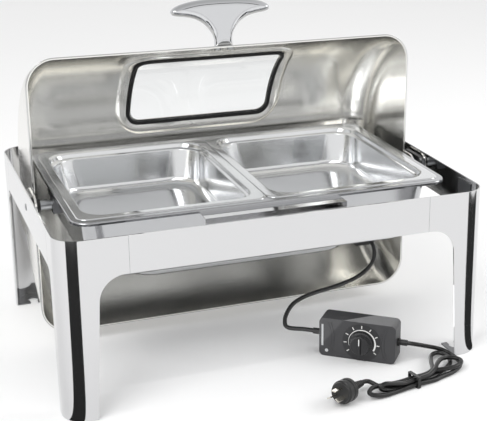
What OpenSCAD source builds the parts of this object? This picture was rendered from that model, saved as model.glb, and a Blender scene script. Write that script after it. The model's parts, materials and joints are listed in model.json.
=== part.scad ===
// Roll top chafer with a swing-over lid, a viewing window, two half-size food pans over one
// water pan, an electric heater dish underneath and an inline dial controller on its cord.
// Millimetres. +X to the right, +Y to the back, +Z up. Origin: floor, middle of the frame.
// Drawn with the lid rolled open, its mouth upright and facing the front.

/* [Frame] */
// outer length of the frame along X
frame_l = 614; // [560:1:680]
// outer depth of the frame along Y
frame_d = 462; // [430:1:500]
// height of the top edge of the rails above the floor
frame_h = 253; // [225:1:300]
// height of the sheet of the rails
rail_h = 52; // [40:1:70]
// sheet thickness of the frame
sheet_t = 2; // [1.5:0.1:3]
// outside radius of the four rounded leg corners
corner_r = 33; // [20:1:40]
// width of a leg flange at the floor
leg_foot_w = 43; // [35:1:60]
// width of a leg flange just below the rail
leg_top_w = 52; // [40:1:64]
// distance from the frame end to the seam between front leg and front rail
seam_x = 93; // [80:1:120]
// distance from the frame front to the seam between leg and side rail
seam_y = 66; // [60:1:90]

/* [Lid] */
// length of the lid along X
lid_l = 584; // [530:1:640]
// half the height of the open mouth of the lid
lid_half = 206; // [190:1:215]
// depth of the lid behind its mouth
lid_depth = 175; // [165:1:190]
// edge radius between the round back and the end walls
lid_edge_r = 40; // [20:1:60]
// sheet thickness of the lid
lid_t = 1.5; // [1:0.1:2.5]
// height of the pivot below the top of the rails
pivot_drop = 25; // [20:1:30]
// distance of the mouth of the lid behind the pivot
mouth_back = 14; // [10:1:16]
// half the width of the window glass
glass_half_w = 116; // [80:1:160]
// half the height of the window glass
glass_half_h = 75; // [50:1:84]
// angle of the middle of the window above the level of the pivot
window_angle = 38; // [34:1:42]
// angle of the handle above the level of the pivot
handle_angle = 75.5; // [72:0.5:78]
// thickness of the cast handle
handle_t = 19; // [14:1:24]

/* [Pans] */
// length of the rim of the water pan
water_l = 546; // [500:1:560]
// width of the rim of the water pan
water_w = 348; // [330:1:352]
// depth of the water pan
water_depth = 99; // [80:1:110]
// length of one half-size food pan along X
food_l = 265; // [240:1:270]
// width of the food pans along Y
food_w = 325; // [300:1:330]
// depth of the food pans
food_depth = 65; // [40:1:80]

/* [Heater] */
// length of the heater dish
dish_l = 370; // [300:1:420]
// width of the heater dish
dish_w = 112; // [90:1:130]
// depth of the heater dish
dish_h = 42; // [30:1:50]

/* [Controller and cords] */
// length of the controller box
ctl_l = 115; // [100:1:130]
// height of the controller box standing on its long edge
ctl_h = 60; // [50:1:70]
// thickness of the controller box
ctl_t = 32; // [26:1:40]
// diameter of the cords
cord_d = 6.4; // [5:0.1:8]

/* [Hidden] */
$fn = 96;
hull_fn = 28;
fit = 0.05;
part_gap = 0.05;
seam_gap = 0.3;
big = 900;

pivot_z = frame_h - pivot_drop;
half_l = frame_l / 2;
half_d = frame_d / 2;
rail_z = frame_h - rail_h;
pin_r = 7;
pin_neck_r = 5;

// lid: a drum of radius drum_r whose middle lies in front of the mouth
drum_r = (lid_half * lid_half + lid_depth * lid_depth) / (2 * lid_depth);
drum_y = mouth_back + lid_depth - drum_r;
band_t = 1.2;
band_w = 8;
hub_t = 3;
hub_r = 16;
hub_len = 52;
bush_r = 10;
bush_flange_r = 13;
bush_flange_t = 2;
lid_end = lid_l / 2;
band_end = lid_end + part_gap + band_t;
hub_in = band_end + 0.15;
hub_out = hub_in + hub_t;
bracket_t = 3;
bracket_in = half_l - sheet_t - bracket_t;

// plates behind the seams and the shelf on the front rail
splice_l = 36;
splice_t = 1.5;
splice_edge = 6;
shelf_l = 204;
shelf_t = 1.5;
shelf_drop = 26;
shelf_z = pivot_z + mouth_back - 0.2;
shelf_out = half_d - sheet_t - part_gap;
shelf_step = lid_half - 8;

// window
gasket_w = 3;
gasket_t = 5;
glass_t = 3;
frame_edge = 17;
window_corner = 20;

// pans
rim_t = 1.5;
water_lip = 5;
water_top = frame_h + 2;
water_rim_x = 19;
water_rim_y = 22;
water_corner = 25;
pan_t = 1;
food_rim_t = 1.2;
food_rim = 13;
food_taper = 9;
food_gap = 0.3;
shelf_top = water_top - water_lip - part_gap;
shelf_in = water_w / 2 - water_rim_y + 5;
food_top = water_top + food_rim_t + part_gap;
water_bottom = water_top - water_depth;

// heater
dish_top = water_bottom - part_gap;
dish_t = 1.2;
dish_edge = 22;
element_r = 4;
element_y = 22;
element_z = dish_top - 16;
element_bend_x = dish_l / 2 - 60;
dish_end = dish_l / 2;
box_x = dish_end + 4;
box_l = 30;
box_w = 72;
box_h = 40;
box_z = element_z - 26;
gland_x = box_x + 15;
gland_z = box_z + 14;
gland_y = -box_w / 2;

// controller placing
ctl_x = 134;
ctl_y = -178;
ctl_turn = -39;
ctl_wall = 2.4;
dial_x = 7;
dial_z = ctl_h * 0.47;
knob_r = 15;
knob_h = 13;
scale_r = 29;
shaft_r = 3;
relief_r = 6;
relief_l = 14;

// cord routes, centre line points
cord_r = cord_d / 2;
tip = ctl_l / 2 + relief_l;
way_x = cos(ctl_turn);
way_y = sin(ctl_turn);
heater_route = [
    [gland_x, gland_y - 14, gland_z], [gland_x, gland_y - 20, gland_z],
    [205.5, -66, 119], [203, -71, 103], [190, -72, 87], [172, -74, 78], [152, -76, 73],
    [128, -78, 69], [104, -81, 67], [82, -85, 64], [64, -89, 58],
    [52, -95, 49], [45, -102, 39], [46, -111, 31],
    [ctl_x - (tip + 14) * way_x, ctl_y - (tip + 14) * way_y, ctl_h / 2],
    [ctl_x - tip * way_x, ctl_y - tip * way_y, ctl_h / 2]];
mains_route = [
    [ctl_x + tip * way_x, ctl_y + tip * way_y, ctl_h / 2],
    [ctl_x + (tip + 8) * way_x, ctl_y + (tip + 8) * way_y, ctl_h / 2],
    [207, -230, 27], [222, -225, 20], [237, -220, 13], [249, -222, 8], [256, -232, 5],
    [258, -246, 4], [254, -260, 5], [247, -269, 6], [239, -273.6, 7]];
lead_route = [[136, -282.5, 8], [125, -281.5, 8.5], [115, -278, 9.2], [106, -275.5, 9.9],
    [98.3, -276.9, 10.8], [90.9, -281.9, 12]];

// tied bundle and plug
hank_x = 167;
hank_y = -293.5;
hank_turn = 11;
hank_l = 148;
hank_w = 24;
hank_h = 17;
tie_w = 5;
tie_t = 1.5;
tie_in = tie_t + 0.1;
plug_r = 16.5;
plug_x = 65.4;
plug_y = -299.1;
plug_z = 16.35;
plug_turn = 214;
plug_tilt = 8;
plug_l = 24;
plug_relief_l = 24;

/* ---------- helpers ---------- */

// A rounded rectangle plate drawn flat, exact arcs.
module round_rect(l, w, r) {
    square([l, w - 2 * r], center = true);
    square([l - 2 * r, w], center = true);
    for (i = [-1, 1])
        for (j = [-1, 1])
            translate([i * (l / 2 - r), j * (w / 2 - r)]) circle(r = r);
}

// A cylinder lying along X from x0 to x1.
module along_x(x0, x1, r) {
    translate([x0, 0, 0]) rotate([0, 90, 0]) cylinder(h = x1 - x0, r = r);
}

// Mirrored copy for the left side when side is -1.
module sided(side) {
    if (side < 0) mirror([1, 0, 0]) children();
    else children();
}

// The closed drum that the lid is cut from, grown outward by g.
module drum(g) {
    r = drum_r + g;
    h = lid_end + g;
    e = lid_edge_r + g;
    translate([0, drum_y, pivot_z])
        rotate([0, 90, 0])
            rotate_extrude($fn = 180) {
                translate([0, -h]) square([r - e, 2 * h]);
                translate([0, e - h]) square([r, 2 * (h - e)]);
                for (s = [-1, 1])
                    translate([r - e, s * (h - e)]) circle(r = e);
            }
}

// Everything behind the mouth plane shifted back by s.
module behind(s) {
    translate([-big / 2, mouth_back + s, -big / 4]) cube([big, big, big]);
}

// A radial frame on the lid: +Z outward, +X along the lid, turned to angle a.
module on_lid(a) {
    translate([0, drum_y, pivot_z]) rotate([a - 90, 0, 0]) children();
}

// A ring wall cut from the drum between two growths.
module drum_layer(g0, g1) {
    difference() {
        drum(g1);
        drum(g0);
    }
}

// The straight prism through the lid with the outline of the window grown by g.
module window_prism(g) {
    on_lid(window_angle)
        translate([0, 0, 110])
            linear_extrude(height = 130)
                round_rect(2 * (glass_half_w + g), 2 * (glass_half_h + g), window_corner + g);
}

// A screw: low round head and shank pointing down from z = 0.
module screw(head_r, head_h, r, len) {
    cylinder(h = head_h, r = head_r);
    translate([0, 0, -len]) cylinder(h = len, r = r);
}

// A tapered pan body between a top plan and a smaller bottom plan.
module pan_body(l, w, depth, taper, rt, rb) {
    hull() {
        translate([0, 0, -0.5]) linear_extrude(height = 0.5) round_rect(l, w, rt, $fn = hull_fn);
        for (i = [-1, 1])
            for (j = [-1, 1])
                translate([i * (l / 2 - taper - rb), j * (w / 2 - taper - rb), rb - depth])
                    sphere(r = rb, $fn = hull_fn);
    }
}

// Smooth point on a route of points at parameter t, one span per whole number.
function catmull(a, b, c, d, t) =
    0.5 * (2 * b + (c - a) * t + (2 * a - 5 * b + 4 * c - d) * t * t
    + (3 * b - 3 * c + d - a) * t * t * t);
function route_point(p, i, t) = catmull(
    i == 0 ? 2 * p[0] - p[1] : p[i - 1], p[i], p[i + 1],
    i + 2 > len(p) - 1 ? 2 * p[i + 1] - p[i] : p[i + 2], t);
function route(p, n) = concat(
    [for (i = [0 : len(p) - 2]) for (k = [0 : n - 1]) route_point(p, i, k / n)],
    [p[len(p) - 1]]);
function unit(v) = v / norm(v);
function heading(q, i) = unit(q[i + 1] - q[i - 1]);
function end_heading(p, q, i) =
    i == 0 ? unit(p[1] - p[0])
    : i == len(q) - 1 ? unit(p[len(p) - 1] - p[len(p) - 2]) : heading(q, i);
function side_of(d) = unit(cross(d, abs(d[2]) > 0.95 ? [1, 0, 0] : [0, 0, 1]));

// One tube swept along a route of points.
module tube(points, n, r, sides) {
    q = route(points, n);
    m = len(q);
    rings = [for (i = [0 : m - 1])
        let (d = end_heading(points, q, i), u = side_of(d), v = cross(u, d))
        for (k = [0 : sides - 1])
            q[i] + r * (cos(360 * k / sides) * u + sin(360 * k / sides) * v)];
    faces = concat(
        [[for (k = [0 : sides - 1]) k]],
        [for (i = [0 : m - 2]) for (k = [0 : sides - 1])
            [i * sides + k, (i + 1) * sides + k,
             (i + 1) * sides + (k + 1) % sides, i * sides + (k + 1) % sides]],
        [[for (k = [sides - 1 : -1 : 0]) (m - 1) * sides + k]]);
    polyhedron(points = rings, faces = faces, convexity = 6);
}

/* ---------- frame ---------- */

// Opening below the rail beside one flange: u runs from the seam to the leg.
module arch_cut(reach, top_w, foot_w, r) {
    edge = reach - top_w;
    polygon([[-1, -1], [reach - foot_w, -1], [edge, rail_z - r], [edge - r, rail_z - r],
        [edge - r, rail_z], [-1, rail_z]]);
    translate([edge - r, rail_z - r]) circle(r = r);
}

// One corner leg, for the right back corner.
module leg() {
    difference() {
        linear_extrude(height = frame_h) intersection() {
            difference() {
                round_rect(frame_l, frame_d, corner_r);
                round_rect(frame_l - 2 * sheet_t, frame_d - 2 * sheet_t, corner_r - sheet_t);
            }
            translate([half_l - seam_x, half_d - seam_y]) square([seam_x + 1, seam_y + 1]);
        }
        translate([half_l - seam_x, half_d + 1, 0]) rotate([90, 0, 0])
            linear_extrude(height = sheet_t + 2)
                arch_cut(seam_x, leg_top_w, leg_foot_w, 36);
        translate([half_l + 1, half_d - seam_y, 0]) rotate([90, 0, 90])
            translate([0, 0, -sheet_t - 2]) linear_extrude(height = sheet_t + 2)
                arch_cut(seam_y, leg_top_w, leg_foot_w, 14);
    }
}

// Places a right back corner shape at the corner sx, sy.
module corner(sx, sy) {
    scale_x = sx > 0 ? 0 : 1;
    scale_y = sy > 0 ? 0 : 1;
    mirror([scale_x, 0, 0]) mirror([0, scale_y, 0]) children();
}

module leg_at(sx, sy) {
    color([0.80, 0.81, 0.82]) corner(sx, sy) leg();
}

// Flat plate turned inward at the bottom of a leg with an open round notch.
module foot_at(sx, sy) {
    in = sheet_t + part_gap;
    color([0.25, 0.25, 0.26]) corner(sx, sy) difference() {
        translate([0, 0, 0]) linear_extrude(height = 2) intersection() {
            round_rect(frame_l - 2 * in, frame_d - 2 * in, corner_r - in);
            translate([half_l - leg_foot_w, half_d - leg_foot_w])
                square([leg_foot_w, leg_foot_w]);
        }
        translate([half_l - 28, half_d - 30, -1]) cylinder(h = 4, r = 8);
        translate([half_l - 34, half_d - leg_foot_w - 1, -1]) cube([12, 14, 4]);
    }
}

// Front or back rail between the seams.
module long_rail(sy) {
    l = frame_l - 2 * seam_x - 2 * seam_gap;
    color([0.82, 0.83, 0.84]) corner(1, sy)
        translate([-l / 2, half_d - sheet_t, rail_z]) cube([l, sheet_t, rail_h]);
}

// Side rail between the seams with the bore of the pivot.
module side_rail(sx) {
    w = frame_d - 2 * seam_y - 2 * seam_gap;
    color([0.78, 0.79, 0.80]) corner(sx, 1) difference() {
        translate([half_l - sheet_t, -w / 2, rail_z]) cube([sheet_t, w, rail_h]);
        translate([0, 0, pivot_z]) along_x(half_l - 8, half_l + 4, pin_neck_r + fit);
    }
}

// Eight plates spot-welded behind the seams between legs and rails.
module splice_plates() {
    low = rail_z + splice_edge;
    tall = rail_h - 2 * splice_edge;
    inset = sheet_t + part_gap + splice_t;
    color([0.6, 0.61, 0.62]) for (sx = [-1, 1]) for (sy = [-1, 1]) corner(sx, sy) {
        translate([half_l - seam_x - splice_l / 2, half_d - inset, low])
            cube([splice_l, splice_t, tall]);
        translate([half_l - inset, half_d - seam_y - splice_l / 2, low])
            cube([splice_t, splice_l, tall]);
    }
}

/* ---------- pivots and supports ---------- */

// Plate inside the side rail that stiffens the pivot.
module pivot_bracket(side) {
    color([0.3, 0.3, 0.31]) sided(side) difference() {
        translate([bracket_in + part_gap / 2, -30, pivot_z - 15])
            cube([bracket_t - part_gap, 60, 30]);
        translate([0, 0, pivot_z]) along_x(bracket_in - 1, half_l, pin_neck_r + fit);
    }
}

// The stepped pivot pin with a slotted outer end.
module pivot_pin(side) {
    color([0.75, 0.76, 0.77]) sided(side) translate([0, 0, pivot_z]) difference() {
        union() {
            along_x(bracket_in - part_gap, half_l + 0.6, pin_neck_r);
            along_x(water_l / 2 - water_rim_x + 3, bracket_in - part_gap, pin_r);
        }
        translate([half_l - 0.6, -4, -0.9]) cube([3, 8, 1.8]);
    }
}

// Block on the pivot pin that carries the rim of the water pan.
module pan_saddle(side) {
    x0 = water_l / 2 - water_rim_x + 3;
    x1 = water_l / 2 - 2;
    tall = water_top - rim_t - part_gap - pivot_z - 9;
    color([0.55, 0.56, 0.57]) sided(side) difference() {
        union() {
            translate([x0, -24, pivot_z + 9]) cube([x1 - x0, 48, tall]);
            translate([x0, -12, pivot_z - 11]) cube([x1 - x0, 24, 24]);
        }
        translate([0, 0, pivot_z]) along_x(x0 - 1, x1 + 1, pin_r + fit);
    }
}

// Stepped shelf welded to the front rail: the lid stops on its low ledge in front, the lip of
// the water pan rests on its high ledge behind.
module front_shelf() {
    color([0.85, 0.86, 0.87]) corner(1, -1) difference() {
        translate([-shelf_l / 2, 0, 0]) rotate([90, 0, 90]) linear_extrude(height = shelf_l)
            polygon([[shelf_in, shelf_top], [shelf_step, shelf_top],
                [shelf_step, shelf_z], [shelf_out, shelf_z],
                [shelf_out, shelf_z - shelf_drop], [shelf_out - shelf_t, shelf_z - shelf_drop],
                [shelf_out - shelf_t, shelf_z - shelf_t], [shelf_step - shelf_t, shelf_z - shelf_t],
                [shelf_step - shelf_t, shelf_top - shelf_t], [shelf_in, shelf_top - shelf_t]]);
        translate([-4, shelf_out - 18, shelf_z - 3]) cube([8, 4, 6]);
    }
}

/* ---------- lid ---------- */

// Bore for the bushes where they pass the edge of the lid.
module bush_bore(r) {
    translate([0, 0, pivot_z]) along_x(-big / 2, big / 2, r);
}

module hub_rivet_axes() {
    for (y = [26, 44]) translate([0, y, pivot_z]) children();
}

module lid_shell() {
    color([0.80, 0.80, 0.78]) difference() {
        intersection() {
            drum_layer(-lid_t, 0);
            behind(0);
        }
        window_prism(-4);
        bush_bore(bush_r + 0.6);
        hub_rivet_axes() along_x(-big / 2, big / 2, 2 + fit);
        on_lid(handle_angle) for (s = [-1, 1]) translate([s * 10, 0, 190])
            cylinder(h = 40, r = 2.5 + fit);
    }
}

// Flat band folded around the mouth of the lid.
module lid_band() {
    color([0.72, 0.72, 0.71]) difference() {
        intersection() {
            drum_layer(part_gap, part_gap + band_t);
            behind(0);
            translate([-big / 2, 0, 0]) cube([big, mouth_back + band_w, big]);
        }
        bush_bore(bush_r + 0.6);
    }
}

// Raised plate around the window inside the lid, corners cut off.
module window_frame() {
    w = glass_half_w + gasket_w + frame_edge;
    h = glass_half_h + gasket_w + frame_edge;
    c = 26;
    color([0.70, 0.70, 0.69]) difference() {
        intersection() {
            drum_layer(-lid_t - part_gap - 2, -lid_t - part_gap);
            on_lid(window_angle) translate([0, 0, 110]) linear_extrude(height = 130)
                polygon([[c - w, -h], [w - c, -h], [w, c - h], [w, h - c], [w - c, h],
                    [c - w, h], [-w, h - c], [-w, c - h]]);
        }
        window_prism(gasket_w + part_gap);
    }
}

// Rubber channel around the glass.
module window_gasket() {
    color([0.03, 0.03, 0.03]) difference() {
        intersection() {
            drum_layer(-lid_t - part_gap - gasket_t, -lid_t - part_gap);
            window_prism(gasket_w);
        }
        window_prism(-gasket_w);
        intersection() {
            drum_layer(-lid_t - part_gap - gasket_t + 1, -lid_t - part_gap - 1);
            window_prism(part_gap);
        }
    }
}

module window_glass() {
    color([0.85, 0.92, 0.93, 0.35]) intersection() {
        drum_layer(-lid_t - gasket_t + 1, -lid_t - gasket_t + 1 + glass_t - 2 * part_gap);
        window_prism(0);
    }
}

// Half outline of the handle seen from the front: x outward, y above the lid.
handle_side = [[0, 71], [24, 70.5], [44, 68.5], [60, 65], [70, 61], [75, 57], [76, 53],
    [73, 49.5], [66, 48], [54, 46], [42, 42], [32, 36], [24, 27], [19, 17], [16, 8], [16, 0]];

module handle() {
    n = len(handle_side) - 1;
    left = [for (i = [n : -1 : 1]) [-handle_side[i][0], handle_side[i][1]]];
    color([0.85, 0.86, 0.87]) on_lid(handle_angle) difference() {
        translate([0, handle_t / 2, drum_r + 0.3]) rotate([90, 0, 0])
            linear_extrude(height = handle_t) polygon(concat(handle_side, left));
        for (s = [-1, 1]) translate([s * 10, 0, drum_r - 1]) cylinder(h = 18, r = 2.5 + fit);
    }
}

module handle_screws() {
    color([0.5, 0.5, 0.51]) on_lid(handle_angle) for (s = [-1, 1])
        translate([s * 10, 0, drum_r - lid_t - 0.2]) rotate([180, 0, 0]) screw(5, 2.6, 2.5, 16);
}

// Plate that carries the lid on the pivot.
module lid_hub(side) {
    color([0.62, 0.62, 0.61]) sided(side) difference() {
        translate([hub_in, 0, pivot_z]) rotate([90, 0, 90]) linear_extrude(height = hub_t) {
            circle(r = hub_r);
            translate([0, -hub_r]) square([hub_len - hub_r, 2 * hub_r]);
            translate([hub_len - hub_r, 0]) circle(r = hub_r);
        }
        bush_bore(bush_r + fit);
        hub_rivet_axes() along_x(-big / 2, big / 2, 2 + fit);
    }
}

// Rivets between the hubs and the ends of the lid.
module hub_rivets() {
    color([0.7, 0.7, 0.71]) for (side = [-1, 1]) sided(side) hub_rivet_axes() {
        along_x(lid_end - lid_t - 1.4, lid_end - lid_t - part_gap, 4);
        along_x(lid_end - lid_t - part_gap, hub_out, 2);
        along_x(hub_out, hub_out + 1.2, 4);
    }
}

module pivot_bush(side) {
    color([0.08, 0.08, 0.08]) sided(side) difference() {
        translate([0, 0, pivot_z]) {
            along_x(lid_end - lid_t - 3, hub_out + part_gap, bush_r);
            along_x(hub_out + part_gap, hub_out + part_gap + bush_flange_t, bush_flange_r);
        }
        bush_bore(pin_r + fit);
    }
}

/* ---------- pans ---------- */

module water_pan() {
    l = water_l - 2 * water_rim_x;
    w = water_w - 2 * water_rim_y;
    color([0.62, 0.63, 0.64]) difference() {
        union() {
            translate([0, 0, water_top - rim_t]) linear_extrude(height = rim_t)
                round_rect(water_l, water_w, water_corner);
            translate([0, 0, water_top - water_lip]) linear_extrude(height = water_lip)
                difference() {
                    round_rect(water_l, water_w, water_corner);
                    round_rect(water_l - 2.4, water_w - 2.4, water_corner - 1.2);
                }
            translate([0, 0, water_top - 0.2])
                pan_body(l, w, water_depth - 0.2, 10, 30, 24);
        }
        translate([0, 0, water_top + 0.2])
            pan_body(l - 2 * pan_t, w - 2 * pan_t, water_depth - pan_t + 0.2, 10, 29, 23);
    }
}

// One half-size food pan with its rim resting on the water pan.
module food_pan(side) {
    l = food_l - food_gap * 2;
    cx = side * food_l / 2;
    color([0.80, 0.81, 0.82]) translate([cx, 0, food_top]) difference() {
        union() {
            translate([0, 0, -food_rim_t]) linear_extrude(height = food_rim_t)
                round_rect(l, food_w, 15);
            pan_body(l - 2 * food_rim, food_w - 2 * food_rim, food_depth, food_taper, 26, 16);
        }
        translate([0, 0, 0.4])
            pan_body(l - 2 * food_rim - 2 * pan_t, food_w - 2 * food_rim - 2 * pan_t,
                food_depth - pan_t + 0.4, food_taper, 25, 15);
    }
}

/* ---------- heater ---------- */

// A dish shape with straight middle and round ends, rounded bottom edge.
module dish_solid(g) {
    r = dish_w / 2 - g;
    h = dish_h - g;
    e = dish_edge - g;
    mid = dish_l / 2 - dish_w / 2;
    module side_2d() {
        translate([0, -h]) square([r - e, h]);
        translate([0, e - h]) square([r, h - e]);
        intersection() {
            translate([r - e, e - h]) circle(r = e);
            translate([r - e, -h]) square([e, e]);
        }
    }
    translate([0, 0, dish_top]) {
        for (s = [-1, 1]) translate([s * mid, 0, 0]) rotate_extrude() side_2d();
        translate([-mid, 0, 0]) rotate([90, 0, 90]) linear_extrude(height = 2 * mid) {
            side_2d();
            mirror([1, 0]) side_2d();
        }
    }
}

module heater_dish() {
    lip = 8;
    color([0.82, 0.83, 0.84]) difference() {
        union() {
            dish_solid(0);
            translate([0, 0, dish_top - dish_t]) linear_extrude(height = dish_t)
                round_rect(dish_l + 2 * lip, dish_w + 2 * lip, dish_w / 2 + lip - 0.01);
        }
        translate([0, 0, 0.01]) dish_solid(dish_t);
        translate([0, 0, dish_top - 0.5]) linear_extrude(height = 2)
            round_rect(dish_l - 2 * dish_t, dish_w - 2 * dish_t, dish_w / 2 - dish_t - 0.01);
        for (s = [-1, 1]) translate([0, s * element_y, element_z])
            along_x(dish_end - 40, dish_end + 12, element_r + fit);
    }
}

// Hairpin tube heater lying in the dish.
module heating_element() {
    color([0.35, 0.34, 0.33]) translate([0, 0, element_z]) {
        for (s = [-1, 1]) translate([0, s * element_y, 0])
            along_x(-element_bend_x, box_x + 8, element_r);
        translate([-element_bend_x, 0, 0]) rotate([0, 0, 90]) rotate_extrude(angle = 180)
            translate([element_y, 0]) circle(r = element_r);
    }
}

// Two straps across the heater tube.
module element_clips() {
    color([0.5, 0.5, 0.5]) for (x = [-70, 70]) translate([x, 0, 0]) difference() {
        translate([-6, -element_y - 10, dish_top - dish_h + dish_t + part_gap])
            cube([12, 2 * element_y + 20, element_z - dish_top + dish_h - dish_t]);
        for (s = [-1, 1]) translate([0, s * element_y, element_z])
            along_x(-8, 8, element_r + fit);
        translate([-8, -element_y - 7, dish_top - dish_h + dish_t + 3])
            cube([16, 2 * element_y + 14, element_z - dish_top + dish_h - dish_t - element_r - 6]);
    }
}

module terminal_box() {
    wall = 2;
    color([0.05, 0.05, 0.05]) difference() {
        translate([box_x, -box_w / 2, box_z]) cube([box_l, box_w, box_h]);
        translate([box_x + wall, wall - box_w / 2, box_z + wall])
            cube([box_l - 2 * wall, box_w - 2 * wall, box_h - 2 * wall]);
        for (s = [-1, 1]) translate([0, s * element_y, element_z])
            along_x(box_x - 1, box_x + wall + 1, element_r + fit);
        translate([gland_x, gland_y - 1, gland_z]) rotate([-90, 0, 0])
            cylinder(h = wall + 2, r = 5 + fit);
    }
}

// Cord gland in the front wall of the terminal box.
module cord_gland() {
    color([0.04, 0.04, 0.04]) translate([gland_x, gland_y, gland_z]) rotate([90, 0, 0]) {
        translate([0, 0, -4]) cylinder(h = 4, r = 5);
        cylinder(h = 5, r = 7);
        translate([0, 0, 5]) cylinder(h = 9, r = 5);
    }
}

module heater_cord() {
    color([0.03, 0.03, 0.03]) tube(heater_route, 2, cord_r, 10);
}

/* ---------- controller ---------- */

// Controller frame: +X along the box, -Y toward its face, floor at z = 0.
module at_controller() {
    translate([ctl_x, ctl_y, 0]) rotate([0, 0, ctl_turn]) children();
}

// The rounded outline of the box pulled between two depths, shrunk by g.
module ctl_block(y0, y1, g) {
    translate([0, y1, ctl_h / 2]) rotate([90, 0, 0]) linear_extrude(height = y1 - y0)
        round_rect(ctl_l - 2 * g, ctl_h - 2 * g, 7 - g);
}

module relief_bores() {
    translate([0, 0, ctl_h / 2]) along_x(-ctl_l, ctl_l, 4.5 + fit);
}

module controller_front() {
    color([0.16, 0.16, 0.17]) at_controller() difference() {
        ctl_block(-ctl_t / 2, -part_gap, 0);
        ctl_block(-ctl_t / 2 + ctl_wall, 1, ctl_wall);
        relief_bores();
        translate([dial_x, -ctl_t / 2 - 1, dial_z]) rotate([-90, 0, 0]) {
            cylinder(h = 1.8, r = scale_r + fit);
            cylinder(h = 6, r = 5);
        }
        translate([-46, -ctl_t / 2 - 1, 9]) rotate([-90, 0, 0]) cylinder(h = 6, r = 2.5 + fit);
        translate([-54, -ctl_t / 2 - 1, 16]) cube([3, 1.6, ctl_h - 26]);
    }
}

module controller_back() {
    color([0.14, 0.14, 0.15]) at_controller() difference() {
        ctl_block(part_gap, ctl_t / 2, 0);
        ctl_block(-1, ctl_t / 2 - ctl_wall, ctl_wall);
        relief_bores();
    }
}

// Printed scale plate around the dial.
module dial_scale() {
    color([0.12, 0.12, 0.12]) at_controller()
        translate([dial_x, -ctl_t / 2, dial_z]) rotate([-90, 0, 0]) difference() {
            translate([0, 0, -0.4]) cylinder(h = 1.15, r = scale_r);
            translate([0, 0, -1]) cylinder(h = 3, r = 5);
        }
}

module dial_knob() {
    color([0.10, 0.10, 0.11]) at_controller()
        translate([dial_x, -ctl_t / 2 - 0.8, dial_z]) rotate([90, 0, 0]) difference() {
            union() {
                cylinder(h = knob_h, r = knob_r);
                cylinder(h = 3, r = knob_r + 3);
                translate([-2, -knob_r + 1, knob_h - 0.5]) cube([4, 2 * knob_r - 2, 4]);
            }
            translate([0, 0, -1]) cylinder(h = knob_h - 3, r = shaft_r + fit);
        }
}

module potentiometer() {
    color([0.45, 0.46, 0.45]) at_controller()
        translate([dial_x, -ctl_t / 2 + ctl_wall + 1, dial_z]) rotate([-90, 0, 0]) {
            cylinder(h = 9, r = 11);
            translate([0, 0, -13]) cylinder(h = 13, r = shaft_r);
        }
}

module circuit_board() {
    color([0.1, 0.35, 0.18]) at_controller()
        translate([-44, -ctl_t / 2 + ctl_wall + 10.1, 6]) cube([88, 1.6, ctl_h - 12]);
}

module indicator_lamp() {
    color([0.9, 0.9, 0.88]) at_controller()
        translate([-46, -ctl_t / 2 - 0.5, 9]) rotate([-90, 0, 0]) cylinder(h = 5, r = 2.5);
}

module light_strip() {
    color([0.7, 0.7, 0.7]) at_controller()
        translate([-53.9, -ctl_t / 2 - 0.3, 16.1]) cube([2.8, 0.85, ctl_h - 26.2]);
}

// Strain relief in an end of the controller.
module relief_at(side) {
    color([0.04, 0.04, 0.04]) at_controller() translate([0, 0, ctl_h / 2]) sided(side) {
        along_x(ctl_l / 2 - 6, ctl_l / 2 + relief_l, 4.5);
        along_x(ctl_l / 2 - 6, ctl_l / 2 - ctl_wall - 0.1, relief_r);
        along_x(ctl_l / 2 + 0.1, ctl_l / 2 + 3, relief_r);
    }
}

/* ---------- mains cord and plug ---------- */

// The free run from the controller to the bundle and the short lead to the plug.
module mains_cord() {
    color([0.03, 0.03, 0.03]) {
        tube(mains_route, 2, cord_r, 10);
        tube(lead_route, 2, cord_r, 10);
    }
}

module at_hank() {
    translate([hank_x, hank_y, 0]) rotate([0, 0, hank_turn]) children();
}

// The tied bundle of the cord as one rounded solid.
module cord_hank() {
    w = tie_w + 0.2;
    color([0.03, 0.03, 0.03]) at_hank() difference() {
        linear_extrude(height = hank_h) {
            square([hank_l - hank_w, hank_w], center = true);
            for (s = [-1, 1]) translate([s * (hank_l - hank_w) / 2, 0]) circle(r = hank_w / 2);
        }
        difference() {
            translate([-w / 2, -hank_w, -1]) cube([w, 2 * hank_w, hank_h + 2]);
            translate([-w, tie_in - hank_w / 2, tie_in])
                cube([2 * w, hank_w - 2 * tie_in, hank_h - 2 * tie_in]);
        }
    }
}

module cord_tie() {
    color([0.05, 0.05, 0.05]) at_hank() difference() {
        translate([-tie_w / 2, -hank_w / 2, 0]) cube([tie_w, hank_w, hank_h]);
        translate([-tie_w, tie_t - hank_w / 2, tie_t])
            cube([2 * tie_w, hank_w - 2 * tie_t, hank_h - 2 * tie_t]);
    }
}

// Plug frame: +Z out of the face with the blades.
module at_plug() {
    translate([plug_x, plug_y, plug_z])
        rotate([0, 0, plug_turn]) rotate([0, 90 - plug_tilt, 0]) children();
}

module plug_body() {
    color([0.05, 0.05, 0.05]) at_plug() difference() {
        union() {
            cylinder(h = plug_l - 4, r = plug_r);
            translate([0, 0, -7]) cylinder(h = 7, r1 = 8, r2 = plug_r - 1);
            translate([0, 0, plug_l - 4]) cylinder(h = 4, r = plug_r - 2);
        }
        blade_slots(fit);
    }
}

module blade_slots(g) {
    for (a = [0, 120, 240]) rotate([0, 0, a]) translate([-7.5, 0, plug_l - 10])
        rotate([0, 0, a == 0 ? 0 : 90]) translate([-0.9 - g, -3.2 - g, 0])
            cube([1.8 + 2 * g, 6.4 + 2 * g, 11]);
}

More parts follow.
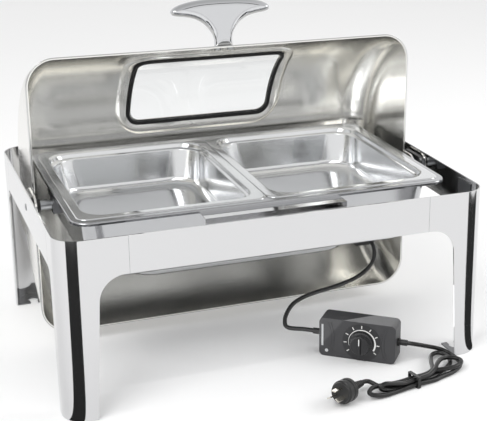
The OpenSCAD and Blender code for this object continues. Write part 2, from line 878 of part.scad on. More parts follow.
module plug_blades() {
    color([0.8, 0.8, 0.78]) at_plug() for (a = [0, 120, 240])
        rotate([0, 0, a]) translate([-7.5, 0, plug_l - 9.9]) rotate([0, 0, a == 0 ? 0 : 90])
            translate([-0.9, -3.2, 0]) cube([1.8, 6.4, 27]);
}

module plug_relief() {
    color([0.05, 0.05, 0.05]) at_plug() translate([0, 0, -7.1 - plug_relief_l])
        cylinder(h = plug_relief_l, r1 = 4.6, r2 = 7);
}

/* ---------- nodes ---------- */

leg_at(-1, -1);  // leg_front_left
leg_at(1, -1);  // leg_front_right
leg_at(-1, 1);  // leg_back_left
leg_at(1, 1);  // leg_back_right
long_rail(-1);  // rail_front
long_rail(1);  // rail_back
side_rail(-1);  // rail_left
side_rail(1);  // rail_right
foot_at(-1, -1);  // foot_front_left
foot_at(1, -1);  // foot_front_right
foot_at(-1, 1);  // foot_back_left
foot_at(1, 1);  // foot_back_right
splice_plates();
pivot_bracket(-1);  // pivot_bracket_left
pivot_bracket(1);  // pivot_bracket_right
pivot_pin(-1);  // pivot_pin_left
pivot_pin(1);  // pivot_pin_right
pan_saddle(-1);  // pan_saddle_left
pan_saddle(1);  // pan_saddle_right
front_shelf();
lid_shell();
lid_band();
window_frame();
window_gasket();
window_glass();
handle();
handle_screws();
lid_hub(-1);  // lid_hub_left
lid_hub(1);  // lid_hub_right
hub_rivets();
pivot_bush(-1);  // pivot_bush_left
pivot_bush(1);  // pivot_bush_right
water_pan();
food_pan(-1);  // food_pan_left
food_pan(1);  // food_pan_right
heater_dish();
heating_element();
element_clips();
terminal_box();
cord_gland();
heater_cord();
controller_front();
controller_back();
dial_scale();
dial_knob();
potentiometer();
circuit_board();
indicator_lamp();
light_strip();
relief_at(-1);  // relief_left
relief_at(1);  // relief_right
mains_cord();
cord_hank();
cord_tie();
plug_body();
plug_blades();
plug_relief();
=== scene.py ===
"""Visual model of a roll top chafer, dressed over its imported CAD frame, in metres."""
import json
import logging
import math
from dataclasses import dataclass
from enum import Enum
from typing import Iterable, Sequence

import bpy
import numpy as np
from mathutils import Matrix


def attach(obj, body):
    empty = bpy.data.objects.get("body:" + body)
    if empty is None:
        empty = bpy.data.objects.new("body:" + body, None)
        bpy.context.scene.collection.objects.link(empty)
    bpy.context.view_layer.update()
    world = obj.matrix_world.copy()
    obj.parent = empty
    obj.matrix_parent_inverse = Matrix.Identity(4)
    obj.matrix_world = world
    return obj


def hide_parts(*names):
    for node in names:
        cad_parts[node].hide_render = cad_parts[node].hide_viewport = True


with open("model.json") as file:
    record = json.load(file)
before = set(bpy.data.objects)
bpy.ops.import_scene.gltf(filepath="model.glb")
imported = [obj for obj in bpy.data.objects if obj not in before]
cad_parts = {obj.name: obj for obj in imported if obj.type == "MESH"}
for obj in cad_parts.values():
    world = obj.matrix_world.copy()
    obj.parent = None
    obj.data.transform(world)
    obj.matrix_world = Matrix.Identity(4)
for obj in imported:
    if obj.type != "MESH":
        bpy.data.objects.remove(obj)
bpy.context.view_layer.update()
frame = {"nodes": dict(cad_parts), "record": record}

log = logging.getLogger("chafer")
MM = 0.001
Array = np.ndarray


class Body(str, Enum):
    """The rigid bodies of the CAD model."""

    FRAME = "frame"
    LID = "lid"
    PAN_LEFT = "pan_left"
    PAN_RIGHT = "pan_right"
    DIAL = "dial"


def detail(full: int) -> int:
    return full


def linked(name: str, data: bpy.types.ID) -> bpy.types.Object:
    """Makes an object and links it into the scene."""
    made = bpy.data.objects.new(name, data)
    bpy.context.scene.collection.objects.link(made)
    return made


# ---------------------------------------------------------------- materials


def linear(hex_code: str) -> tuple[float, float, float, float]:
    """Turns an sRGB hex colour into linear RGBA.

    Args:
        hex_code: The colour, as # and six hex digits.

    Returns:
        Linear red, green and blue, and an alpha of 1.
    """
    parts = np.array([int(hex_code[i:i + 2], 16) / 255 for i in (1, 3, 5)])
    low = parts / 12.92
    high = ((parts + 0.055) / 1.055) ** 2.4
    rgb = np.where(parts <= 0.04045, low, high)
    return (float(rgb[0]), float(rgb[1]), float(rgb[2]), 1.0)


def node(tree: bpy.types.NodeTree, kind: str, links: Sequence[tuple] = (),
         **values: object) -> bpy.types.Node:
    """Adds one node, sets its sockets or attributes and links its inputs.

    Args:
        tree: The node tree of a material or the world.
        kind: The Blender node type name.
        links: Pairs of (input name, output socket that feeds it).
        values: Input socket values, or node attributes, by name.

    Returns:
        The new node.
    """
    made = tree.nodes.new(kind)
    for key, value in values.items():
        if hasattr(made, key):
            setattr(made, key, value)
        else:
            made.inputs[key.replace("_", " ")].default_value = value
    for name, source in links:
        tree.links.new(source, made.inputs[name])
    return made


@dataclass(frozen=True)
class Finish:
    """A plain surface: one colour, one gloss, optional fine grain.

    Attributes:
        name: Real material and how its surface was made.
        colour: sRGB hex colour.
        rough: Roughness of the surface.
        metal: 1 for bare metal, 0 otherwise.
        grain_mm: Size of the fine grain, 0 for none.
        grain_depth: Depth of the grain in millimetres.
    """

    name: str
    colour: str
    rough: float
    metal: float = 0.0
    grain_mm: float = 0.0
    grain_depth: float = 0.0

    def build(self) -> bpy.types.Material:
        """Returns the Blender material, made once."""
        have = bpy.data.materials.get(self.name)
        if have is not None:
            return have
        made = bpy.data.materials.new(self.name)
        made.use_nodes = True
        tree = made.node_tree
        shader = tree.nodes["Principled BSDF"]
        shader.inputs["Base Color"].default_value = linear(self.colour)
        shader.inputs["Roughness"].default_value = self.rough
        shader.inputs["Metallic"].default_value = self.metal
        self.dress(tree, shader)
        return made

    def dress(self, tree: bpy.types.NodeTree, shader: bpy.types.Node) -> None:
        """Adds the fine moulded or cast grain as a bump."""
        if self.grain_mm <= 0:
            return
        place = node(tree, "ShaderNodeTexCoord")
        grain = node(tree, "ShaderNodeTexNoise", [("Vector", place.outputs["Object"])],
                     Scale=1 / (self.grain_mm * MM), Detail=3.0)
        bump = node(tree, "ShaderNodeBump", [("Height", grain.outputs["Fac"])],
                    Strength=0.6, Distance=self.grain_depth * MM)
        tree.links.new(bump.outputs["Normal"], shader.inputs["Normal"])


@dataclass(frozen=True)
class BrushedSteel(Finish):
    """Stainless sheet with fine polishing lines in one direction.

    Attributes:
        lines: Stretch of the pattern along X, Y and Z; the small number is along the lines.
        spread: How much the lines change the roughness.
        wave_mm: Depth of the slow waviness of the sheet.
        line_gap_mm: Distance between two polishing lines.
        smear_mm: Size of a faint smear left by wiping.
        swell_mm: Length of one slow wave of the sheet.
    """

    lines: tuple[float, float, float] = (0.02, 1.0, 1.0)
    spread: float = 0.08
    wave_mm: float = 0.0
    line_gap_mm: float = 0.8
    smear_mm: float = 60.0
    swell_mm: float = 90.0

    def dress(self, tree: bpy.types.NodeTree, shader: bpy.types.Node) -> None:
        """Adds polishing lines, faint smears and the waviness of pressed sheet."""
        place = node(tree, "ShaderNodeTexCoord")
        turn = node(tree, "ShaderNodeMapping", [("Vector", place.outputs["Object"])], Scale=self.lines)
        lines = node(tree, "ShaderNodeTexNoise", [("Vector", turn.outputs["Vector"])],
                     Scale=1 / (self.line_gap_mm * MM), Detail=4.0, Roughness=0.7)
        smear = node(tree, "ShaderNodeTexNoise", [("Vector", place.outputs["Object"])],
                     Scale=1 / (self.smear_mm * MM), Detail=2.0)
        amount = node(tree, "ShaderNodeMath", [(0, lines.outputs["Fac"]), (1, smear.outputs["Fac"])],
                      operation="MULTIPLY")
        range_ = node(tree, "ShaderNodeMapRange", [("Value", amount.outputs[0])],
                      From_Min=0.1, From_Max=0.45, To_Min=max(0.02, self.rough - self.spread),
                      To_Max=self.rough + self.spread)
        tree.links.new(range_.outputs["Result"], shader.inputs["Roughness"])
        fine = node(tree, "ShaderNodeBump", [("Height", lines.outputs["Fac"])],
                    Strength=0.25, Distance=self.grain_depth * MM)
        wave = node(tree, "ShaderNodeTexNoise", [("Vector", place.outputs["Object"])],
                    Scale=1 / (self.swell_mm * MM), Detail=1.0)
        bump = node(tree, "ShaderNodeBump",
                    [("Height", wave.outputs["Fac"]), ("Normal", fine.outputs["Normal"])],
                    Strength=1.0, Distance=self.wave_mm * MM)
        tree.links.new(bump.outputs["Normal"], shader.inputs["Normal"])


@dataclass(frozen=True)
class ClearGlass(Finish):
    """Flat clear glass."""

    def dress(self, tree: bpy.types.NodeTree, shader: bpy.types.Node) -> None:
        """Lets light through with the bend of soda-lime glass."""
        shader.inputs["Transmission Weight"].default_value = 1.0
        shader.inputs["IOR"].default_value = 1.45


# rolled stainless, polished to a mirror after bending
MIRROR_SHEET = BrushedSteel("stainless_sheet_mirror_polished", "#D0D0D1", 0.08, 1.0, grain_depth=0.01,
                            spread=0.03, wave_mm=0.25)
# pressed stainless lid, brushed along its length with fine grit
SATIN_LID = BrushedSteel("stainless_lid_satin_brushed", "#F1F0EC", 0.2, 1.0, grain_depth=0.012,
                         spread=0.05, wave_mm=0.1)
# folded rim band of the lid, polished
RIM_SHEET = BrushedSteel("stainless_rim_polished", "#C4C4C3", 0.15, 1.0, grain_depth=0.01,
                         spread=0.04, wave_mm=0.05)
# deep drawn pan, bright satin after pickling
PAN_STEEL = BrushedSteel("stainless_deep_drawn_bright", "#D9DADB", 0.16, 1.0, grain_depth=0.02,
                         lines=(0.05, 1.0, 0.6), spread=0.06, wave_mm=0.2)
# water pan outside, darker duller steel
WATER_STEEL = BrushedSteel("stainless_water_pan_satin", "#B6B7B9", 0.2, 1.0, grain_depth=0.02,
                           spread=0.06, wave_mm=0.2)
# bare strip, cold rolled
STRIP_STEEL = BrushedSteel("stainless_strip_cold_rolled", "#77787A", 0.32, 1.0, grain_depth=0.02,
                           spread=0.06)
# machined screws and pins, zinc plated
SCREW_STEEL = Finish("zinc_plated_turned_steel", "#A9ABAD", 0.3, 1.0)
# cast zinc, polished and chrome plated
CHROME = Finish("chrome_plated_zinc_casting", "#CFD0D2", 0.05, 1.0)
GASKET = Finish("silicone_rubber_moulded", "#0B0B0B", 0.55, grain_mm=1.0, grain_depth=0.02)
NYLON = Finish("nylon_moulded_black", "#141414", 0.42, grain_mm=0.7, grain_depth=0.03)
JACKET = Finish("pvc_cord_jacket_extruded", "#0A0A0A", 0.34, grain_mm=1.4, grain_depth=0.03)
HOUSING = Finish("abs_housing_spark_textured", "#3B3B3D", 0.5, grain_mm=0.5, grain_depth=0.06)
PLATE = Finish("abs_dial_plate_smooth", "#28282A", 0.38)
KNOB = Finish("abs_knob_smooth", "#202022", 0.3)
INK = Finish("white_pad_print", "#EDEDEB", 0.5)
LIGHT_PLASTIC = Finish("light_grey_acrylic_moulded", "#C5C7C8", 0.3)
ELEMENT = Finish("heater_tube_heat_tinted_steel", "#4B463F", 0.4, 1.0)
BOARD = Finish("circuit_board_green_lacquer", "#1E5A30", 0.4)
BLADE = Finish("nickel_plated_brass_stamped", "#CFCBC2", 0.2, 1.0)
GLASS = ClearGlass("toughened_clear_glass_floated", "#FBFCFC", 0.0)

BY_SLOT: dict[str, Finish] = {
    "polished_sheet": MIRROR_SHEET, "satin_sheet": SATIN_LID, "pan_steel": PAN_STEEL,
    "dark_steel": STRIP_STEEL, "cast_chrome": CHROME, "screw_steel": SCREW_STEEL,
    "window_glass": GLASS, "black_rubber": GASKET, "black_nylon": NYLON, "cord_jacket": JACKET,
    "box_plastic": HOUSING, "knob_plastic": KNOB, "scale_print": PLATE, "light_plastic": LIGHT_PLASTIC,
    "element_steel": ELEMENT, "board": BOARD, "blade_brass": BLADE,
}


# ---------------------------------------------------------------- geometry


def catmull(points: Array, per_span: int) -> Array:
    """Smooth curve through points: each span is the cubic set by its four neighbours.

    Args:
        points: Control points, one per row.
        per_span: Samples in each span.

    Returns:
        The sampled curve, the last control point included.
    """
    p = np.asarray(points, float)
    ends = np.vstack([2 * p[0] - p[1], p, 2 * p[-1] - p[-2]])
    a, b, c, d = (ends[i:i + len(p) - 1, None, :] for i in range(4))
    t = np.linspace(0, 1, per_span, endpoint=False)[None, :, None]
    curve = 0.5 * (2 * b + (c - a) * t + (2 * a - 5 * b + 4 * c - d) * t ** 2
                   + (3 * b - 3 * c + d - a) * t ** 3)
    return np.vstack([curve.reshape(-1, p.shape[1]), p[-1:]])


def grid_quads(rows: int, cols: int, close: bool = False) -> Array:
    """Quads of a grid of vertices.

    Args:
        rows: Rows of vertices.
        cols: Vertices in a row.
        close: True to join the last column to the first.

    Returns:
        Rows of four vertex indices.
    """
    i = np.arange(rows - 1)[:, None]
    j = np.arange(cols if close else cols - 1)[None, :]
    k = (j + 1) % cols
    quads = np.stack([i * cols + j, i * cols + k, (i + 1) * cols + k, (i + 1) * cols + j], axis=-1)
    return quads.reshape(-1, 4)


def rounded_loop(half_l: Array, half_w: Array, radius: Array, seg: int) -> Array:
    """Rounded rectangle loops: four quarter arcs of one radius joined by straight sides.

    Args:
        half_l: Half lengths, one per loop.
        half_w: Half widths, one per loop.
        radius: Corner radii, one per loop.
        seg: Steps in each quarter arc.

    Returns:
        Array of loops by points by two.
    """
    half_l, half_w, radius = (np.asarray(v, float)[:, None] for v in (half_l, half_w, radius))
    radius = np.minimum(radius, np.minimum(half_l, half_w) * 0.999)
    turn = np.linspace(0, math.pi / 2, seg + 1)
    angle = np.concatenate([turn + k * math.pi / 2 for k in range(4)])[None, :]
    sx = np.repeat([1, -1, -1, 1], seg + 1)[None, :]
    sy = np.repeat([1, 1, -1, -1], seg + 1)[None, :]
    x = sx * (half_l - radius) + radius * np.cos(angle)
    y = sy * (half_w - radius) + radius * np.sin(angle)
    return np.stack([x, y], axis=-1)


def fillet(points: Sequence[Sequence[float]], radii: Sequence[float], steps: int = 6) -> Array:
    """Rounds the corners of an open profile with circular arcs.

    The first two columns are the profile, any others are carried along.

    Args:
        points: Profile corners.
        radii: Radius at each corner; the first and last are unused.
        steps: Steps in each arc.

    Returns:
        The rounded profile.
    """
    p = np.asarray(points, float)
    out = [p[:1]]
    for k in range(1, len(p) - 1):
        before, here, after = p[k - 1], p[k], p[k + 1]
        u = (before - here)[:2]
        v = (after - here)[:2]
        lu, lv = np.linalg.norm(u), np.linalg.norm(v)
        half = math.acos(np.clip(u @ v / (lu * lv), -1, 1)) / 2
        reach = min(radii[k] / max(math.tan(half), 1e-6), 0.49 * lu, 0.49 * lv)
        if reach < 1e-6:
            out.append(here[None])
            continue
        a = here + (before - here) * reach / lu
        b = here + (after - here) * reach / lv
        t = np.linspace(0, 1, steps + 1)[:, None]
        # rational quadratic: the exact arc touching both sides
        w = math.sin(half)
        top = (1 - t) ** 2 * a + 2 * w * t * (1 - t) * here + t ** 2 * b
        out.append(top / ((1 - t) ** 2 + 2 * w * t * (1 - t) + t ** 2))
    out.append(p[-1:])
    return np.vstack(out)


def thicken(profile: Array, thick: float) -> Array:
    """Closed outline of a sheet: the profile pushed to both sides by half its thickness.

    Args:
        profile: Points along the middle of the sheet.
        thick: Sheet thickness.

    Returns:
        The outline, out along one side and back along the other.
    """
    run = np.gradient(profile[:, :2], axis=0)
    run /= np.linalg.norm(run, axis=1, keepdims=True)
    normal = np.stack([-run[:, 1], run[:, 0]], axis=1)
    one, two = profile.copy(), profile.copy()
    one[:, :2] += normal * thick / 2
    two[:, :2] -= normal * thick / 2
    return np.vstack([one, two[::-1]])


@dataclass
class Shape:
    """A mesh being put together from whole arrays.

    Attributes:
        points: Vertex positions in millimetres.
        faces: Quads, as rows of four indices.
    """

    points: Array
    faces: Array

    @staticmethod
    def join(*shapes: "Shape") -> "Shape":
        """One shape from several."""
        starts = np.cumsum([0] + [len(s.points) for s in shapes[:-1]])
        return Shape(np.vstack([s.points for s in shapes]),
                     np.vstack([s.faces + n for s, n in zip(shapes, starts)]))

    def moved(self, matrix: Array) -> "Shape":
        """The shape carried by a 4 by 4 matrix in millimetres."""
        return Shape(self.points @ matrix[:3, :3].T + matrix[:3, 3], self.faces)

    def welded(self) -> tuple[Array, list[tuple[int, ...]]]:
        """Merges equal points and drops the faces that close up."""
        _, first, back = np.unique(np.round(self.points, 4), axis=0, return_index=True,
                                   return_inverse=True)
        faces = back.reshape(-1)[self.faces]
        same = faces == np.roll(faces, -1, axis=1)
        whole = faces[~same.any(axis=1)]
        tri = faces[same.sum(axis=1) == 1]
        keep = ~same[same.sum(axis=1) == 1]
        tri = tri[keep].reshape(-1, 3) if len(tri) else np.zeros((0, 3), int)
        tri = tri[(tri[:, 0] != tri[:, 1]) & (tri[:, 1] != tri[:, 2]) & (tri[:, 0] != tri[:, 2])]
        return self.points[first], [tuple(f) for f in whole.tolist()] + [tuple(f) for f in tri.tolist()]


def rotate_z(degrees: float, x: float = 0, y: float = 0, z: float = 0) -> Array:
    """A turn about Z followed by a shift."""
    c, s = math.cos(math.radians(degrees)), math.sin(math.radians(degrees))
    return np.array([[c, -s, 0, x], [s, c, 0, y], [0, 0, 1, z], [0, 0, 0, 1]], float)


def tilt_x(degrees: float) -> Array:
    """A turn about X."""
    c, s = math.cos(math.radians(degrees)), math.sin(math.radians(degrees))
    return np.array([[1, 0, 0, 0], [0, c, -s, 0], [0, s, c, 0], [0, 0, 0, 1]], float)


def revolve(profile: Array, seg: int, ripple: float = 0.0, count: int = 0) -> Shape:
    """Surface of revolution about Z of (radius, height) points, with an optional rippled edge.

    Args:
        profile: Radius and height pairs, from axis to axis.
        seg: Steps round the axis.
        ripple: Depth of the ripple of the radius.
        count: Number of ripples.

    Returns:
        The closed shape.
    """
    a = np.linspace(0, 2 * math.pi, seg, endpoint=False)[None, :]
    rim = profile[:, :1] > 0.8 * profile[:, 0].max()
    r = profile[:, :1] - ripple * 0.5 * (1 - np.cos(count * a)) * rim
    z = np.repeat(profile[:, 1:2], seg, axis=1)
    points = np.stack([r * np.cos(a), r * np.sin(a), z], axis=-1)
    return Shape(points.reshape(-1, 3), grid_quads(len(profile), seg, close=True))


def sweep(path: Array, radius: float, sides: int) -> Shape:
    """A round tube: circles set square to the path, carried along without twist.

    Args:
        path: Points of the centre line.
        radius: Radius of the tube.
        sides: Points on each circle.

    Returns:
        The tube, closed at both ends.
    """
    run = np.gradient(path, axis=0)
    run /= np.linalg.norm(run, axis=1, keepdims=True)
    side = np.cross(run[0], [0, 0, 1.0])
    if np.linalg.norm(side) < 1e-3:
        side = np.array([1.0, 0, 0])
    frames = []
    for t in run:
        side = side - t * (side @ t)
        side /= np.linalg.norm(side)
        frames.append(side)
    u = np.array(frames)
    v = np.cross(run, u)
    a = np.linspace(0, 2 * math.pi, sides, endpoint=False)
    ring = np.cos(a)[None, :, None] * u[:, None] + np.sin(a)[None, :, None] * v[:, None]
    body = path[:, None] + ring * radius
    first = np.repeat(path[:1, None], sides, axis=1)
    last = np.repeat(path[-1:, None], sides, axis=1)
    loops = np.concatenate([first, body, last])
    return Shape(loops.reshape(-1, 3), grid_quads(len(loops), sides, close=True)[:, ::-1])


def length_of(path: Array) -> float:
    """Length along a path."""
    return float(np.linalg.norm(np.diff(path, axis=0), axis=1).sum())


class Assembly:
    """A group of pieces that ride on one body."""

    body: Body = Body.FRAME

    def add(self, name: str, shape: Shape, finish: Finish, slot: str, stands_for: Iterable[str] = (),
            sharp: float = 35.0) -> bpy.types.Object:
        """Makes one piece from a shape in millimetres.

        Args:
            name: Name of the piece.
            shape: Its surface.
            finish: Its finish.
            slot: The record's material slot; not used.
            stands_for: CAD nodes that the piece replaces.
            sharp: Edges bent more than this, in degrees, are shown sharp.

        Returns:
            The new object, riding on the body of the assembly.
        """
        points, faces = shape.welded()
        mesh = bpy.data.meshes.new(name)
        mesh.from_pydata((points * MM).tolist(), [], faces)
        mesh.validate()
        mesh.update()
        mesh.shade_smooth()
        mesh.set_sharp_from_angle(angle=math.radians(sharp))
        mesh.materials.append(finish.build())
        piece = linked(name, mesh)
        outward(piece)
        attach(piece, self.body.value)
        if stands_for:
            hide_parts(*stands_for)
        log.info("piece %s: %d points", name, len(points))
        return piece


def outward(piece: bpy.types.Object) -> None:
    """Turns all faces of a closed piece outward, by the sign of the volume they hold."""
    mesh = piece.data
    mesh.calc_loop_triangles()
    count = len(mesh.loop_triangles)
    index = np.empty(count * 3, int)
    mesh.loop_triangles.foreach_get("vertices", index)
    points = np.empty(len(mesh.vertices) * 3)
    mesh.vertices.foreach_get("co", points)
    a, b, c = (points.reshape(-1, 3)[index.reshape(-1, 3)[:, k]] for k in range(3))
    if np.einsum("ij,ij->i", a, np.cross(b, c)).sum() < 0:
        mesh.flip_normals()


# ---------------------------------------------------------------- camera and light


@dataclass(frozen=True)
class Studio:
    """Camera, floor, world and lamps.

    Attributes:
        spot: Camera position in metres.
        yaw: Turn of the view from +Y towards +X, radians.
        pitch: Downward tilt, radians.
        roll: Turn about the view axis, radians.
        focal: Focal length over the image width.
        shift: Lens shift in image widths.
        sensor_mm: Width of the camera's sensor.
        flag_near: Distance from a leg to the near end of its wedge.
        flag_far: Distance to the far end.
    """

    spot: tuple[float, float, float] = (-0.52977, -1.65142, 0.78576)
    yaw: float = 0.3915
    pitch: float = 0.3235
    roll: float = 0.0087
    focal: float = 2.47784
    shift: tuple[float, float] = (-0.1696, -0.0257)
    sensor_mm: float = 36.0
    flag_near: float = 0.028
    flag_far: float = 0.9

    @staticmethod
    def axes(right: Array, up: Array, back: Array, spot: Sequence[float]) -> Matrix:
        """The world matrix with these three axes at this spot."""
        matrix = np.eye(4)
        matrix[:3] = np.column_stack([right, up, back, spot])
        return Matrix(matrix.tolist())

    @staticmethod
    def flat(name: str, corners: Iterable[Sequence[float]], stuff: bpy.types.Material,
             unseen_by: Sequence[str] = ()) -> None:
        """A flat four-sided piece of the studio.

        Args:
            name: Name of the piece.
            corners: Its corners in metres, in order.
            stuff: Its material.
            unseen_by: Kinds of ray that pass it by.
        """
        mesh = bpy.data.meshes.new(name)
        mesh.from_pydata([tuple(map(float, c)) for c in corners], [], [(0, 1, 2, 3)])
        mesh.materials.append(stuff)
        piece = linked(name, mesh)
        for ray in unseen_by:
            setattr(piece, f"visible_{ray}", False)

    def camera(self) -> None:
        """Sets the camera where the photograph was taken."""
        sy, cy = math.sin(self.yaw), math.cos(self.yaw)
        sp, cp = math.sin(self.pitch), math.cos(self.pitch)
        ahead = np.array([sy * cp, cy * cp, -sp])
        right = np.array([cy, -sy, 0.0])
        up = np.cross(right, ahead)
        cr, sr = math.cos(self.roll), math.sin(self.roll)
        right, up = cr * right + sr * up, cr * up - sr * right
        data = bpy.data.cameras.new("camera")
        data.sensor_width = self.sensor_mm
        data.lens = self.sensor_mm * self.focal
        data.shift_x, data.shift_y = self.shift
        data.clip_end = 50
        cam = linked("camera", data)
        cam.matrix_world = self.axes(right, up, -ahead, self.spot)
        bpy.context.scene.camera = cam

    def world(self) -> None:
        """A white room that is darker high up and has grey bands to show in the steel."""
        world = bpy.data.worlds.new("studio")
        bpy.context.scene.world = world
        world.use_nodes = True
        tree = world.node_tree
        tree.nodes.clear()
        place = node(tree, "ShaderNodeTexCoord")
        parts = node(tree, "ShaderNodeSeparateXYZ", [("Vector", place.outputs["Generated"])])
        ramp = node(tree, "ShaderNodeValToRGB", [("Fac", parts.outputs["Z"])])
        stops = ramp.color_ramp.elements
        stops[0].color, stops[1].color = linear("#FFFFFF"), linear("#C4C4C4")
        stops.new(0.3).color = linear("#FFFFFF")
        stops.new(0.62).color = linear("#EDEDED")
        back = node(tree, "ShaderNodeBackground", [("Color", ramp.outputs["Color"])], Strength=1.05)
        seen = node(tree, "ShaderNodeBackground", Color=(1, 1, 1, 1), Strength=1.2)
        path = node(tree, "ShaderNodeLightPath")
        mix = node(tree, "ShaderNodeMixShader", [(0, path.outputs["Is Camera Ray"]),
                                                 (1, back.outputs[0]), (2, seen.outputs[0])])
        out = node(tree, "ShaderNodeOutputWorld", [("Surface", mix.outputs[0])])
        out.is_active_output = True

    def card(self, name: str, centre: Sequence[float], size: Sequence[float], look: Sequence[float],
             colour: str, glow: float = 0.0) -> None:
        """A flat card beside the object that only shows in reflections.

        Args:
            name: Name of the card.
            centre: Its centre in metres.
            size: Width and height in metres.
            look: The point it faces.
            colour: sRGB hex colour.
            glow: Emission strength, 0 for a plain card.
        """
        centre, look = np.asarray(centre, float), np.asarray(look, float)
        out = look - centre
        out /= np.linalg.norm(out)
        side = np.cross([0, 0, 1.0], out)
        side /= np.linalg.norm(side)
        top = np.cross(out, side)
        corners = [centre + sx * side * size[0] / 2 + sz * top * size[1] / 2
                   for sx, sz in ((-1, -1), (1, -1), (1, 1), (-1, 1))]
        stuff = bpy.data.materials.new(name)
        stuff.use_nodes = True
        inputs = stuff.node_tree.nodes["Principled BSDF"].inputs
        inputs["Base Color"].default_value = linear(colour)
        inputs["Roughness"].default_value = 0.9
        inputs["Specular IOR Level"].default_value = 0.0
        inputs["Emission Color"].default_value = linear(colour)
        inputs["Emission Strength"].default_value = glow
        self.flat(name, corners, stuff, ("camera", "diffuse", "shadow"))

    def wedge(self, name: str, apex: Sequence[float], one: Sequence[float],
              two: Sequence[float]) -> None:
        """A black wedge on the floor that only the rounded leg corners mirror.

        Args:
            name: Name of the wedge.
            apex: Where the leg stands, in metres.
            one: Direction of its first side.
            two: Direction of its second side.
        """
        near, far = self.flag_near, self.flag_far
        corners = [np.asarray(apex) + np.asarray(way) * d
                   for way, d in ((one, near), (one, far), (two, far), (two, near))]
        cloth = Finish("flag_cloth_black", "#020202", 1.0).build()
        self.flat(name, [(x, y, 0.0004) for x, y in corners], cloth,
                  ("camera", "diffuse", "shadow", "transmission"))

    def floor(self) -> None:
        """A wide pale floor."""
        half, low = 9, -0.0002
        paper = Finish("paper_sweep_matt_white", "#FAFAFA", 0.9).build()
        self.flat("floor", [(x, y, low) for x, y in ((-half, -half), (half, -half), (half, half),
                                                     (-half, half))], paper)

    def lamp(self, name: str, place: Sequence[float], aim: Sequence[float], size: float,
             power: float) -> None:
        """One square soft lamp.

        Args:
            name: Name of the lamp.
            place: Its middle in metres.
            aim: The point it shines at.
            size: Side of its square in metres.
            power: Power in watts.
        """
        data = bpy.data.lights.new(name, "AREA")
        data.size = size
        data.energy = power
        lamp = linked(name, data)
        away = np.asarray(place, float) - np.asarray(aim, float)
        away /= np.linalg.norm(away)
        side = np.cross([0, 0, 1.0], away)
        side /= np.linalg.norm(side)
        lamp.matrix_world = self.axes(side, np.cross(away, side), away, place)

    def build(self) -> None:
        """Camera first, then the room and its light."""
        self.camera()
        bpy.context.scene.view_settings.view_transform = "Standard"
        self.world()
        self.floor()
        self.lamp("lamp_top_left", (-1.6, -1.2, 2.2), (0, 0, 0.2), 1.6, 34)
        self.lamp("lamp_right", (2.0, -0.6, 1.4), (0, 0, 0.2), 1.2, 16)
        self.wedge("flag_left", (-0.280, -0.204), (-0.13, -0.90), (-0.80, -0.46))
        self.wedge("flag_right", (0.280, -0.204), (0.53, -0.77), (0.92, -0.10))
        self.card("flag_overhead", (0.3, -1.5, 2.0), (3.0, 0.2), (0, 0, 0.45), "#050505")
        self.card("glow_under_pan", (0.0, -0.15, 0.004), (0.5, 0.2), (0.0, 0.15, 0.15), "#FFFFFF", 1.6)
        self.card("flag_high_left", (-1.5, 0.1, 0.75), (0.5, 0.7), (0, 0, 0.45), "#050505")
        self.card("flag_high_right", (1.5, -0.1, 0.75), (0.5, 0.7), (0, 0, 0.45), "#050505")


# ---------------------------------------------------------------- cords


